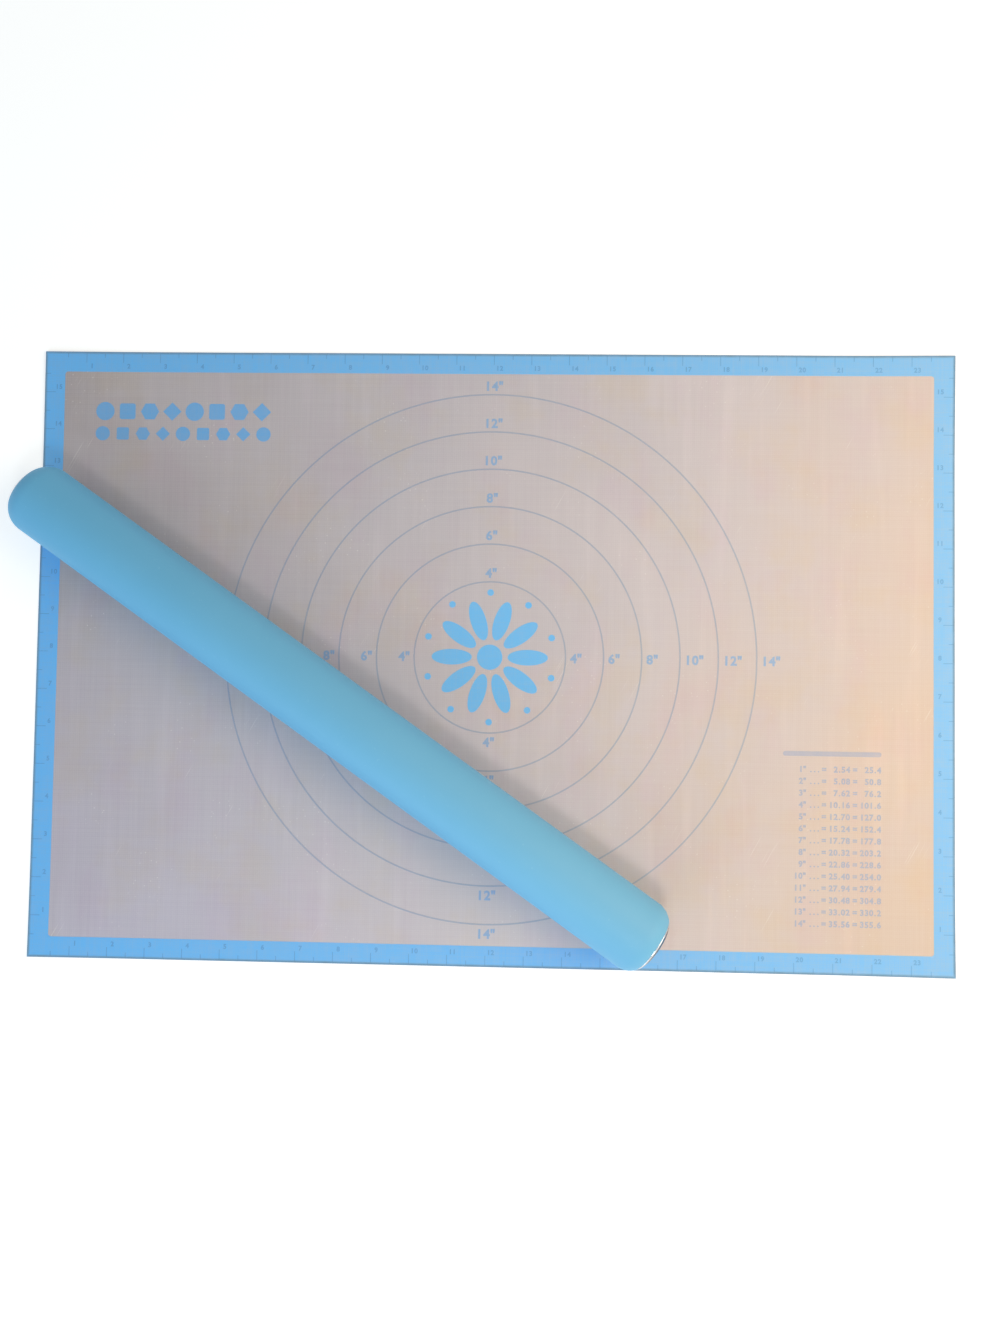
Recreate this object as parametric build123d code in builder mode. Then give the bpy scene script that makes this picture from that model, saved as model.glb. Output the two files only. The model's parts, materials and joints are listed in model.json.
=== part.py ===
from build123d import *
from math import acos, cos, pi, radians, sin
import os

# A reinforced silicone baking mat with a ruled border and size rings, and the straight rolling
# pin that lies across it. Millimetres. The origin is the middle of the mat's underside, X runs
# along the mat's long side, Y across it and Z up from the table.

os.makedirs("parts", exist_ok=True)

# The mat's outline, which is ruled in whole inches from its middle
ruler_pitch = 25.4
inches_along = 24
inches_across = 16
end_margin = 3.0
side_margin = 2.5

# The mat's layers
lower_coat_thickness = 0.25
mesh_thickness = 0.25
upper_coat_thickness = 0.25
ink_thickness = 0.06

# The printed border and its ruler
border_width = 13.8
border_corner_radius = 2.0
inch_tick_length = 7.5
half_inch_tick_length = 4.0
tick_width = 0.45
ruler_line_width = 0.6

# The size rings and the figures beside them
ring_inches = [4, 6, 8, 10, 12, 14]
ring_line_width = 1.0
ring_figure_height = 6.2
ring_figure_clearance = 2.4
inch_mark_length = 1.9

# The heading bar of the conversion table, placed in from the border at the lower right
table_inset = 34.0
table_rise = 132.6
table_width = 64.5
heading_height = 3.2

# Two rows of cutter shapes, placed in from the border at the upper left
shapes_inset = 22.0
shapes_drop = 27.1
shapes_width = 120.5
shape_row_pitch = 15.3
upper_shape_height = 12.6
upper_shape_count = 8
lower_shape_height = 9.8
lower_shape_count = 9

# The rosette in the middle, which keeps clear of the smallest ring
rosette_clearance = 4.6
rosette_disc_radius = 8.5
petal_count = 10
petal_width = 10.5
petal_root_gap = 3.5
petal_tip_gap = 2.3
dot_radius = 2.2

# The rolling pin
pin_length = 508.0
pin_diameter = 48.0
pin_shoulder_radius = 14.0
pin_middle_x = -98.5
pin_middle_y = -39.5
pin_heading = -34.9
pin_rest_clearance = 0.3
sleeve_bore_radius = 17.1
cap_seat_width = 1.9
cap_rim_setback = 0.3
spigot_length = 18.0
spigot_wall = 1.5
spigot_lead_in = 0.8
core_wall = 1.2
turning_clearance = 0.1
end_play = 0.3

# Sizes that follow from the ones above
mat_length = inches_along * ruler_pitch + 2 * end_margin
mat_width = inches_across * ruler_pitch + 2 * side_margin
mesh_bottom = lower_coat_thickness
upper_coat_bottom = mesh_bottom + mesh_thickness
mat_top = upper_coat_bottom + upper_coat_thickness
band_top = mat_top + ink_thickness
half_length = mat_length / 2
half_width = mat_width / 2
field_half_length = half_length - border_width
field_half_width = half_width - border_width


def mat_layer(bottom, thickness):
    """One full sheet of the mat, cut to the mat's outline."""
    with BuildPart() as layer:
        with BuildSketch(Plane.XY.offset(bottom)):
            Rectangle(mat_length, mat_width)
        extrude(amount=thickness)
    return layer


# The mat itself: a glass cloth between two coats of silicone
lower_silicone_coat = mat_layer(0, lower_coat_thickness)
glass_fibre_mesh = mat_layer(mesh_bottom, mesh_thickness)
upper_silicone_coat = mat_layer(upper_coat_bottom, upper_coat_thickness)

# The border is printed right out to the cut edge
with BuildPart() as border_band:
    with BuildSketch(Plane.XY.offset(mat_top)):
        Rectangle(mat_length, mat_width)
        RectangleRounded(
            2 * field_half_length,
            2 * field_half_width,
            border_corner_radius,
            mode=Mode.SUBTRACT,
        )
    extrude(amount=ink_thickness)


def ruler_steps(inches):
    """Places of the ruler's lines from the middle, with the inch lines told from the halves."""
    steps = range(1, 2 * inches)
    return [((step - inches) * ruler_pitch / 2, step % 2 == 0) for step in steps]


# The ruler is one comb of ink: a fine line along the cut edge, which all its ticks grow from. The
# ticks in the corners would cross and are left out.
with BuildPart() as ruler_ticks:
    with BuildSketch(Plane.XY.offset(band_top)):
        Rectangle(mat_length, mat_width)
        Rectangle(
            mat_length - 2 * ruler_line_width,
            mat_width - 2 * ruler_line_width,
            mode=Mode.SUBTRACT,
        )
        for is_inch, tick_length in ((True, inch_tick_length), (False, half_inch_tick_length)):
            along = [place for place, whole in ruler_steps(inches_along) if whole == is_inch]
            across = [place for place, whole in ruler_steps(inches_across) if whole == is_inch]
            tick_y = half_width - tick_length / 2
            tick_x = half_length - tick_length / 2
            with Locations(*[(x, side * tick_y) for x in along for side in (-1, 1)]):
                Rectangle(tick_width, tick_length)
            with Locations(*[(side * tick_x, y) for y in across for side in (-1, 1)]):
                Rectangle(tick_length, tick_width)
    extrude(amount=ink_thickness)

# A plain figure is drawn from seven bars: three level ones and four upright ones. These are its
# sizes and the bars' places as shares of its height, and the bars that each figure uses.
figure_width_share = 0.56
figure_stroke_share = 0.17
figure_pitch_share = 0.78
end_share = (1 - figure_stroke_share) / 2
side_share = (figure_width_share - figure_stroke_share) / 2
level_bar_shares = {"bottom": -end_share, "middle": 0, "top": end_share}
upright_bar_shares = {
    "lower left": (-side_share, -0.25),
    "lower right": (side_share, -0.25),
    "upper left": (-side_share, 0.25),
    "upper right": (side_share, 0.25),
}
bars_of_figure = {
    "0": ("top", "bottom", "upper left", "upper right", "lower left", "lower right"),
    "1": ("upper right", "lower right"),
    "2": ("top", "middle", "bottom", "upper right", "lower left"),
    "4": ("middle", "upper left", "upper right", "lower right"),
    "6": ("top", "middle", "bottom", "upper left", "lower left", "lower right"),
    "8": ("top", "middle", "bottom", "upper left", "upper right", "lower left", "lower right"),
}
figure_width = figure_width_share * ring_figure_height
figure_stroke = figure_stroke_share * ring_figure_height
figure_pitch = figure_pitch_share * ring_figure_height
inch_mark_room = 4 * figure_stroke


def number_width(text):
    """How wide a number and its inch mark stand together."""
    return (len(text) - 1) * figure_pitch + figure_width + inch_mark_room


def draw_numbers(numbers):
    """Draw numbers with inch marks into the open sketch; each is its text and its middle."""
    level, upright, marks = [], [], []
    for text, (middle_x, middle_y) in numbers:
        edge = middle_x - number_width(text) / 2
        for place, figure in enumerate(text):
            x = edge + figure_width / 2 + place * figure_pitch
            for bar in bars_of_figure[figure]:
                if bar in level_bar_shares:
                    level.append((x, middle_y + level_bar_shares[bar] * ring_figure_height))
                else:
                    share_x, share_y = upright_bar_shares[bar]
                    bar_x = x + share_x * ring_figure_height
                    upright.append((bar_x, middle_y + share_y * ring_figure_height))
        mark_x = edge + number_width(text) - figure_stroke / 2
        mark_y = middle_y + (ring_figure_height - inch_mark_length) / 2
        marks += [(mark_x, mark_y), (mark_x - 2 * figure_stroke, mark_y)]
    with Locations(*level):
        Rectangle(figure_width, figure_stroke)
    with Locations(*upright):
        Rectangle(figure_stroke, ring_figure_height / 2)
    with Locations(*marks):
        Rectangle(figure_stroke, inch_mark_length)


def size_ring(inches):
    """One printed ring, its diameter measured at the middle of its line."""
    radius = inches * ruler_pitch / 2
    with BuildPart() as ring:
        with BuildSketch(Plane.XY.offset(mat_top)):
            Circle(radius + ring_line_width / 2)
            Circle(radius - ring_line_width / 2, mode=Mode.SUBTRACT)
        extrude(amount=ink_thickness)
    return ring


size_rings = {f"ring_{inches}_inch": size_ring(inches) for inches in ring_inches}


def ring_numbers(direction_x, direction_y):
    """The rings' sizes, upright, just outside each ring on one side of the middle."""
    numbers = []
    for inches in ring_inches:
        text = str(inches)
        depth = abs(direction_x) * number_width(text) + abs(direction_y) * ring_figure_height
        ring_edge = (inches * ruler_pitch + ring_line_width) / 2
        reach = ring_edge + ring_figure_clearance + depth / 2
        numbers.append((text, (direction_x * reach, direction_y * reach)))
    with BuildPart() as column:
        with BuildSketch(Plane.XY.offset(mat_top)):
            draw_numbers(numbers)
        extrude(amount=ink_thickness)
    return column


ring_numerals = {
    "ring_numerals_top": ring_numbers(0, 1),
    "ring_numerals_right": ring_numbers(1, 0),
    "ring_numerals_bottom": ring_numbers(0, -1),
    "ring_numerals_left": ring_numbers(-1, 0),
}

# The conversion table's heading is a plain bar
table_middle = field_half_length - table_inset - table_width / 2
table_top = table_rise - field_half_width

with BuildPart() as conversion_rule:
    with BuildSketch(Plane.XY.offset(mat_top)):
        with Locations((table_middle, table_top - heading_height / 2)):
            SlotOverall(table_width, heading_height)
    extrude(amount=ink_thickness)

# A square cutter shape's side and its corners, as shares of the height of the row it stands in
cutter_square_share = 0.86
cutter_corner_share = 0.12


def draw_cutter_row(y, height, count):
    """Draw one row of plain cutter shapes, in turn a disc, a square, a hexagon and a lozenge."""
    pitch = (shapes_width - height) / (count - 1)
    first = shapes_inset - field_half_length + height / 2
    centres = [(first + place * pitch, y) for place in range(count)]
    with Locations(*centres[0::4]):
        Circle(height / 2)
    with Locations(*centres[1::4]):
        side = cutter_square_share * height
        RectangleRounded(side, side, cutter_corner_share * height)
    with Locations(*centres[2::4]):
        RegularPolygon(height / 2, 6)
    with Locations(*centres[3::4]):
        RegularPolygon(height / 2, 4)


upper_row_y = field_half_width - shapes_drop
lower_row_y = upper_row_y - shape_row_pitch

with BuildPart() as cutter_shapes:
    with BuildSketch(Plane.XY.offset(mat_top)):
        draw_cutter_row(upper_row_y, upper_shape_height, upper_shape_count)
        draw_cutter_row(lower_row_y, lower_shape_height, lower_shape_count)
    extrude(amount=ink_thickness)

# The rosette stands inside the smallest ring: a disc, petals and a circle of dots
smallest_ring_inside = (min(ring_inches) * ruler_pitch - ring_line_width) / 2
dot_ring_radius = smallest_ring_inside - rosette_clearance - dot_radius
petal_root = rosette_disc_radius + petal_root_gap
petal_tip = dot_ring_radius - dot_radius - petal_tip_gap

with BuildPart() as centre_rosette:
    with BuildSketch(Plane.XY.offset(mat_top)):
        Circle(rosette_disc_radius)
        with PolarLocations((petal_tip + petal_root) / 2, petal_count):
            Ellipse((petal_tip - petal_root) / 2, petal_width / 2)
        with PolarLocations(dot_ring_radius, petal_count, start_angle=180 / petal_count):
            Circle(dot_radius)
    extrude(amount=ink_thickness)

# The pin lies on the print with its axis level. Its own plane has X along the axis and Y up.
pin_radius = pin_diameter / 2
pin_axis_height = band_top + ink_thickness + pin_rest_clearance + pin_radius
pin_plane = Plane(
    origin=(pin_middle_x, pin_middle_y, pin_axis_height),
    x_dir=(cos(radians(pin_heading)), sin(radians(pin_heading)), 0),
    z_dir=(sin(radians(pin_heading)), -cos(radians(pin_heading)), 0),
)
pin_axis = Axis(pin_plane.origin, pin_plane.x_dir)

# Each end is one rounded shoulder, silicone down to the cap's rim and steel from there in
shoulder_middle = pin_length / 2 - pin_shoulder_radius
face_radius = pin_radius - pin_shoulder_radius


def shoulder_turn(radius):
    """How far round its arc, from the pin's side, the shoulder has the given radius."""
    return acos((radius - face_radius) / pin_shoulder_radius)


def shoulder_point(turn):
    """The point that lies that far round the shoulder's arc."""
    return (
        shoulder_middle + pin_shoulder_radius * sin(turn),
        face_radius + pin_shoulder_radius * cos(turn),
    )


cap_rim_radius = sleeve_bore_radius + cap_seat_width
sleeve_turn = shoulder_turn(cap_rim_radius)
sleeve_edge = shoulder_point(sleeve_turn)
sleeve_end = sleeve_edge[0]
shoulder_start = (shoulder_middle, pin_radius)

with BuildPart() as silicone_sleeve:
    with BuildSketch(pin_plane):
        with BuildLine():
            Line((0, sleeve_bore_radius), (sleeve_end, sleeve_bore_radius))
            Line((sleeve_end, sleeve_bore_radius), sleeve_edge)
            ThreePointArc(sleeve_edge, shoulder_point(sleeve_turn / 2), shoulder_start)
            Line(shoulder_start, (0, pin_radius))
            Line((0, pin_radius), (0, sleeve_bore_radius))
        make_face()
        mirror(about=Plane.YZ)
    revolve(axis=pin_axis)

# The steel core runs free in the sleeve and stops just short of the caps
core_radius = sleeve_bore_radius - turning_clearance
core_bore_radius = core_radius - core_wall

with BuildPart() as core_tube:
    with BuildSketch(pin_plane):
        with Locations((0, (core_radius + core_bore_radius) / 2)):
            Rectangle(2 * (sleeve_end - end_play), core_wall)
    revolve(axis=pin_axis)

# A cap closes each end: a rounded steel button against the sleeve, a hollow spigot in the core
spigot_radius = core_bore_radius - turning_clearance
spigot_end = sleeve_end - spigot_length
cap_edge_radius = cap_rim_radius - cap_rim_setback
cap_turn = shoulder_turn(cap_edge_radius)
cap_edge = shoulder_point(cap_turn)
face_edge = (pin_length / 2, face_radius)


def end_cap(side):
    """The cap at one end; side is 1 at the pin's forward end and -1 at the other."""
    with BuildPart() as cap:
        with BuildSketch(pin_plane):
            with BuildLine():
                Polyline(
                    cap_edge,
                    (sleeve_end, cap_edge_radius),
                    (sleeve_end, spigot_radius),
                    (spigot_end + spigot_lead_in, spigot_radius),
                    (spigot_end, spigot_radius - spigot_lead_in),
                    (spigot_end, spigot_radius - spigot_wall),
                    (sleeve_end, spigot_radius - spigot_wall),
                    (sleeve_end, 0),
                    (pin_length / 2, 0),
                    face_edge,
                )
                ThreePointArc(face_edge, shoulder_point((cap_turn + pi / 2) / 2), cap_edge)
            make_face()
            if side < 0:
                mirror(about=Plane.YZ, mode=Mode.REPLACE)
        revolve(axis=pin_axis)
    return cap


left_end_cap = end_cap(-1)
right_end_cap = end_cap(1)

pieces = {
    "lower_silicone_coat": lower_silicone_coat,
    "glass_fibre_mesh": glass_fibre_mesh,
    "upper_silicone_coat": upper_silicone_coat,
    "border_band": border_band,
    "ruler_ticks": ruler_ticks,
    **size_rings,
    **ring_numerals,
    "conversion_rule": conversion_rule,
    "cutter_shapes": cutter_shapes,
    "centre_rosette": centre_rosette,
    "core_tube": core_tube,
    "silicone_sleeve": silicone_sleeve,
    "left_end_cap": left_end_cap,
    "right_end_cap": right_end_cap,
}
for name, piece in pieces.items():
    piece.part.label = name
    export_step(piece.part, f"parts/{name}.step")
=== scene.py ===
import json
from math import acos, cos, pi, radians, sin

import bpy
from mathutils import Matrix, Vector


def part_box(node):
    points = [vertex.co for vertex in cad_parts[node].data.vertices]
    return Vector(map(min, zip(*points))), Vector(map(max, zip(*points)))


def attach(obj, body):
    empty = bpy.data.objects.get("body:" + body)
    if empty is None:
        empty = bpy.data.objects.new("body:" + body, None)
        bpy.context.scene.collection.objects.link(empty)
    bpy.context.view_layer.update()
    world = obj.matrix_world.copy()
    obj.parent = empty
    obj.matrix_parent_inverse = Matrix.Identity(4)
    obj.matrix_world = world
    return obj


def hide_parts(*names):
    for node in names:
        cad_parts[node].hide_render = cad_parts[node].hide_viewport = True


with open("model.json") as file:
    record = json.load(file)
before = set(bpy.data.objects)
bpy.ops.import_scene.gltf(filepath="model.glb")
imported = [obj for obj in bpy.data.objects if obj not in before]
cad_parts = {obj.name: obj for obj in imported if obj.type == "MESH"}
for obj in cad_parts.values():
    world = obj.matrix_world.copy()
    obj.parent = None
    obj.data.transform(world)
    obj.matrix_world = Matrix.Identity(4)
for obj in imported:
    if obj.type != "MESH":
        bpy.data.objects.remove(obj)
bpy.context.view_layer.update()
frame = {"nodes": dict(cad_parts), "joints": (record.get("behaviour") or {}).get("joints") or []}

# The camera stands where the photograph was taken, over the middle of the mat and a little
# towards its front. The photograph's long side is its height, which the lens is worked out from.
photo_height_px = 1333
focal_length_px = 1040
sensor_height_mm = 36
camera_place = Vector((0.0288, -0.0317, 0.6968))
camera_forward = Vector((-0.0312, 0.0367, -0.9988)).normalized()
camera_right = Vector((0.9994, 0.0156, -0.0307)).normalized()

camera = bpy.data.objects.new("camera", bpy.data.cameras.new("camera"))
bpy.context.scene.collection.objects.link(camera)
camera.data.lens = sensor_height_mm * focal_length_px / photo_height_px
camera_up = camera_right.cross(camera_forward)
camera.matrix_world = Matrix.Translation(camera_place) @ Matrix(
    (camera_right, camera_up, -camera_forward)
).transposed().to_4x4()
bpy.context.scene.camera = camera


# The mat is a glass cloth pressed between two thin coats of silicone and cut to size. It lies flat
# but not dead flat: there are faint ripples all over, and its corners stand up by about a
# millimetre. The coats are clear, so the cloth's weave and the table's tone show through them.
class Wire:
    """A socket of a node tree. Arithmetic on wires and numbers adds Math nodes to the tree."""

    def __init__(self, tree, socket=None):
        self.tree = tree
        self.socket = socket

    def add(self, kind, settings=(), inputs=(), output=0):
        """Add a node: its type, its settings, and the values or wires of its inputs."""
        node = self.tree.nodes.new(kind)
        for name, value in dict(settings).items():
            if name == "stops":
                set_stops(node.color_ramp.elements, value)
            else:
                setattr(node, name, value)
        for key, value in dict(inputs).items():
            if isinstance(value, Wire):
                self.tree.links.new(value.socket, node.inputs[key])
            else:
                node.inputs[key].default_value = value
        return Wire(self.tree, node.outputs[output] if node.outputs else None)

    def other(self, output):
        """Another output of the node that this wire comes from."""
        return Wire(self.tree, self.socket.node.outputs[output])

    def math(self, operation, *values):
        settings = {"operation": operation}
        return self.add("ShaderNodeMath", settings, dict(enumerate((self, *values))))

    def __add__(self, value):
        return self.math("ADD", value)

    def __radd__(self, value):
        return self.math("ADD", value)

    def __sub__(self, value):
        return self.math("SUBTRACT", value)

    def __rsub__(self, value):
        return self.math("MULTIPLY", -1).math("ADD", value)

    def __mul__(self, value):
        return self.math("MULTIPLY", value)

    def __rmul__(self, value):
        return self.math("MULTIPLY", value)

    def __truediv__(self, value):
        return self.math("DIVIDE", value)

    def __rtruediv__(self, value):
        return self.add("ShaderNodeMath", {"operation": "DIVIDE"}, {0: value, 1: self})

    def __pow__(self, value):
        return self.math("POWER", value)

    def above(self, start, full):
        """0 up to start, 1 from full on, and a smooth step between."""
        inputs = {0: self, 1: start, 2: full}
        return self.add("ShaderNodeMapRange", {"interpolation_type": "SMOOTHSTEP"}, inputs)

    def clamped(self):
        return self.math("MAXIMUM", 0).math("MINIMUM", 1)

    def blend(self, first, second, how="MIX"):
        """A colour that is first where this wire is 0 and second, or their product, where it is 1."""
        settings = {"data_type": "RGBA", "blend_type": how}
        return self.add("ShaderNodeMix", settings, {0: self, 6: first, 7: second}, output=2)

    def noise(self, place, scale, detail=2.0, roughness=0.5):
        """Noise from 0 to 1 at a place, with scale patches to the metre."""
        inputs = {"Vector": place, "Scale": scale, "Detail": detail, "Roughness": roughness}
        return self.add("ShaderNodeTexNoise", {}, inputs)

    def parts(self, place):
        """The three parts of a place."""
        x = self.add("ShaderNodeSeparateXYZ", {}, {0: place})
        return x, x.other(1), x.other(2)

    def vector(self, x=0.0, y=0.0, z=0.0):
        """A place, step or size of three parts."""
        return self.add("ShaderNodeCombineXYZ", {}, {0: x, 1: y, 2: z})

    def stretched(self, place, x, y, z=1.0):
        """A place with its axes multiplied, so that a pattern on it is drawn out."""
        return self.add("ShaderNodeVectorMath", {"operation": "MULTIPLY"}, {0: place, 1: (x, y, z)})

    def bump(self, strength, distance):
        """The surface's normal where this wire is its relief."""
        inputs = {"Strength": strength, "Distance": distance, "Height": self}
        return self.add("ShaderNodeBump", {}, inputs)


def set_stops(elements, stops):
    """Give a colour ramp its stops, each a place and a colour."""
    while len(elements) < len(stops):
        elements.new(0.5)
    for element, (place, shade) in zip(elements, stops):
        element.position = place
        element.color = shade


def colour(red, green, blue):
    """A colour of 0 to 255 on screen as Blender's linear one."""
    return tuple((part / 255) ** 2.2 for part in (red, green, blue)) + (1.0,)


mat_low, mat_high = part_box("upper_silicone_coat")
mat_length = mat_high.x - mat_low.x
mat_width = mat_high.y - mat_low.y
mat_top = mat_high.z
ripple_height = 0.00009
ripple_lengths = (0.213, 0.151, 0.097)
ripple_phases = (0.7, 1.9, 0.4, 2.6)
slanting_shares = (0.6, 0.4)
corner_lift = 0.0012
corner_reach = 0.078
corner_power = 1.5
right_end_lift = 0.9
weld_reach = 1e-6


def new_film_tree(name, **inputs):
    """A geometry tree for a film, and a wire from each of its inputs, which are given with their kinds.

    Every film also asks for its height over the table, its thickness and its finish.
    """
    tree = bpy.data.node_groups.new(name, "GeometryNodeTree")
    tree.is_modifier = True
    inputs.update(Bottom="Float", Thickness="Float", Finish="Material")
    for title, kind in inputs.items():
        tree.interface.new_socket(title, in_out="INPUT", socket_type=f"NodeSocket{kind}")
    tree.interface.new_socket("Geometry", in_out="OUTPUT", socket_type="NodeSocketGeometry")
    given = tree.nodes.new("NodeGroupInput")
    return tree, {title: Wire(tree, given.outputs[title]) for title in inputs}


def close_tree(result):
    """Lead a wire to its tree's output."""
    output = result.tree.nodes.new("NodeGroupOutput")
    result.tree.links.new(result.socket, output.inputs[0])


def build_lying_film():
    """A group that lays flat faces on the rippled mat and gives them a thickness."""
    tree, given = new_film_tree("lying film", Faces="Geometry")
    start = given["Faces"]
    x, y, _ = start.parts(start.add("GeometryNodeInputPosition"))
    long, middling, short = (2 * pi / length for length in ripple_lengths)
    along, across, one_way, other_way = ripple_phases
    ripples = (
        (x * long + along).math("SINE") * (y * middling + across).math("COSINE")
        + (x * middling - y * short + one_way).math("SINE") * slanting_shares[0]
        + (x * short + y * long + other_way).math("SINE") * slanting_shares[1]
    )
    into_corner_x = ((x.math("ABSOLUTE") - (mat_length / 2 - corner_reach)) / corner_reach).clamped()
    into_corner_y = ((y.math("ABSOLUTE") - (mat_width / 2 - corner_reach)) / corner_reach).clamped()
    curl = (into_corner_x * into_corner_y) ** corner_power * (1 + x * right_end_lift) * corner_lift
    lift = (ripples * 0.5 + 1) * ripple_height + curl + given["Bottom"]
    inputs = {"Geometry": start, "Offset": start.vector(z=lift)}
    laid = start.add("GeometryNodeSetPosition", {}, inputs)
    upwards = start.vector(z=given["Thickness"])
    grown = start.add(
        "GeometryNodeExtrudeMesh",
        {"mode": "FACES"},
        {"Mesh": laid, "Offset": upwards, "Offset Scale": 1.0, "Individual": False},
    )
    underside = start.add("GeometryNodeFlipFaces", {}, {"Mesh": laid})
    joined = start.add("GeometryNodeJoinGeometry", {}, {0: grown})
    start.tree.links.new(underside.socket, joined.socket.node.inputs[0])
    closed = start.add("GeometryNodeMergeByDistance", {}, {"Geometry": joined, "Distance": weld_reach})
    flat = start.add("GeometryNodeSetShadeSmooth", {}, {"Geometry": closed, "Shade Smooth": False})
    finished = {"Geometry": flat, "Material": given["Finish"]}
    close_tree(start.add("GeometryNodeSetMaterial", {}, finished))
    return tree


lying_film = build_lying_film()


def lay_film(faces, given):
    """Close a film's tree with the group above."""
    inputs = {"Faces": faces, **{title: given[title] for title in ("Bottom", "Thickness", "Finish")}}
    close_tree(faces.add("GeometryNodeGroup", {"node_tree": lying_film}, inputs))


def made_by(tree, name, start=None, **inputs):
    """The object whose plain mesh a geometry tree makes from the given inputs."""
    maker = bpy.data.objects.new(name, start or bpy.data.meshes.new(name))
    bpy.context.scene.collection.objects.link(maker)
    modifier = maker.modifiers.new(name, "NODES")
    modifier.node_group = tree
    for item in tree.interface.items_tree:
        if item.name in inputs:
            modifier[item.identifier] = inputs[item.name]
    depsgraph = bpy.context.evaluated_depsgraph_get()
    mesh = bpy.data.meshes.new_from_object(maker.evaluated_get(depsgraph))
    finish = mesh.materials[-1]
    mesh.materials.clear()
    mesh.materials.append(finish)
    maker.modifiers.clear()
    maker.data = mesh
    return maker


def new_material(name):
    """A material with an empty node tree, and a wire and its Object coordinates to start from."""
    material = bpy.data.materials.new(name)
    material.use_nodes = True
    material.node_tree.nodes.clear()
    start = Wire(material.node_tree)
    return material, start, start.add("ShaderNodeTexCoord", output="Object")


def close_material(start, settings):
    """Give a material its surface, from the values and wires of the shader's sockets."""
    shader = start.add("ShaderNodeBsdfPrincipled", {}, settings)
    start.add("ShaderNodeOutputMaterial", {}, {"Surface": shader})


def woven(start, place):
    """The glass cloth's relief, from 0 to 1: threads that pass over and under each other."""
    x, y, _ = start.parts(place)
    across_warp = x * (pi / thread_pitch)
    across_weft = y * (pi / thread_pitch)
    warp_on_top = (across_warp.math("COSINE") * across_weft.math("COSINE") * 1.6 + 0.5).clamped()
    warp = across_warp.math("SINE").math("ABSOLUTE") * warp_on_top
    weft = across_weft.math("SINE").math("ABSOLUTE") * (1 - warp_on_top)
    return warp + weft


def thread_streaks(start, place):
    """Threads that are a little thicker or thinner along their length, from 0 to 1."""
    along_y = start.noise(start.stretched(place, *streaks_to_metre), 1.0, detail=1.0)
    along_x = start.noise(start.stretched(place, *streaks_to_metre[::-1]), 1.0, detail=1.0)
    return (along_x + along_y) * 0.5


def mat_tone(start, place):
    """The bare mat's colour at a place: paler and warmer towards the right and darker towards the top,
    partly painted light and partly the table's tone through the clear coats, with a painted cool light
    at the lower left and faint stains.
    """
    x, y, _ = start.parts(place)
    blotches = start.noise(place, 11.0, detail=3.0)
    # This slope is painted light: the mat grows paler and warmer to the right and darker to the top.
    painted_light_slope = x * (painted_light_along / mat_length) - y * painted_light_across
    painted_light_and_blotches = painted_light_slope + 0.5 + (blotches - 0.5) * blotch_strength
    tone = start.add("ShaderNodeValToRGB", {"stops": mat_tones_with_painted_light}, {0: painted_light_and_blotches})
    greasy = start.noise(place, 17.0, detail=4.0, roughness=0.62).above(0.46, 0.7)
    drawn_out = start.stretched(place, 23, 14)
    flushed = start.noise(drawn_out, 1.0, detail=4.0, roughness=0.62).above(0.46, 0.7)
    wiped = start.noise(start.stretched(place, 80, 8), 1.0, detail=3.0).above(0.5, 0.75)
    # A painted cool light tints the lower left of the mat.
    painted_cool_light = (x * -1 - y).above(0.15, 0.45)
    stains = ((greasy, grease_tint), (flushed, flush_tint), (wiped, wiped_tint), (painted_cool_light, painted_cool_light_tint))
    for stain, tint in stains:
        tone = stain.blend(tone, tint, "MULTIPLY")
    return tone


def fine_marks(start, place):
    """Light scratches and specks of flour, from 0 to 1."""
    settings = {"rotation_type": "Z_AXIS"}
    askew = start.add("ShaderNodeVectorRotate", settings, {"Vector": place, "Angle": scratch_slant})
    scratched = start.noise(place, 30.0).above(0.58, 0.68)
    scratches = start.noise(start.stretched(askew, 1300, 22), 1.0, detail=1.0).above(0.66, 0.74)
    settings = {"voronoi_dimensions": "2D"}
    specks = start.add("ShaderNodeTexVoronoi", settings, {"Vector": place, "Scale": 130.0})
    floured = start.noise(place, 23.0, detail=3.0).above(0.5, 0.66)
    return (scratches * scratched).math("MAXIMUM", specks.above(0.07, 0.04) * floured)


thread_pitch = 0.0013
streaks_to_metre = (700, 14)
scratch_slant = 0.5
silicone_ior = 1.41
weave_light = 0.08
streak_light = 0.18
mark_light = 0.25
coat_light = 0.06
# How strongly the painted light grows along and across the mat.
painted_light_along = 0.82
painted_light_across = 0.45
blotch_strength = 0.3
# The mat's tones from dark and cool to pale and warm, spread out partly by painted light.
mat_tones_with_painted_light = (
    (0.0, colour(164, 152, 154)),
    (0.1, colour(181, 171, 175)),
    (0.35, colour(193, 184, 190)),
    (0.65, colour(213, 199, 200)),
    (1.0, colour(223, 194, 171)),
)
grease_tint = (1.01, 0.98, 0.89, 1.0)
flush_tint = (1.0, 0.95, 0.99, 1.0)
wiped_tint = (1.05, 1.05, 1.05, 1.0)
painted_cool_light_tint = (0.98, 0.99, 1.1, 1.0)
thread_light = colour(255, 252, 246)


def build_coat_material():
    material, start, place = new_material("clear silicone on glass cloth")
    weave = woven(start, place)
    streaks = thread_streaks(start, place)
    threads = (weave - 0.5) * weave_light + (streaks - 0.5) * streak_light
    light = threads + coat_light + fine_marks(start, place) * mark_light
    skin = start.noise(place, 900.0, detail=2.0)
    relief = weave * 0.7 + skin * 0.3
    handled = start.noise(place, 14.0, detail=5.0, roughness=0.6)
    close_material(
        start,
        {
            "Base Color": light.clamped().blend(mat_tone(start, place), thread_light),
            "Roughness": handled * 0.22 + 0.36,
            "IOR": silicone_ior,
            "Normal": relief.bump(0.35, 0.00012),
        },
    )
    return material


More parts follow.
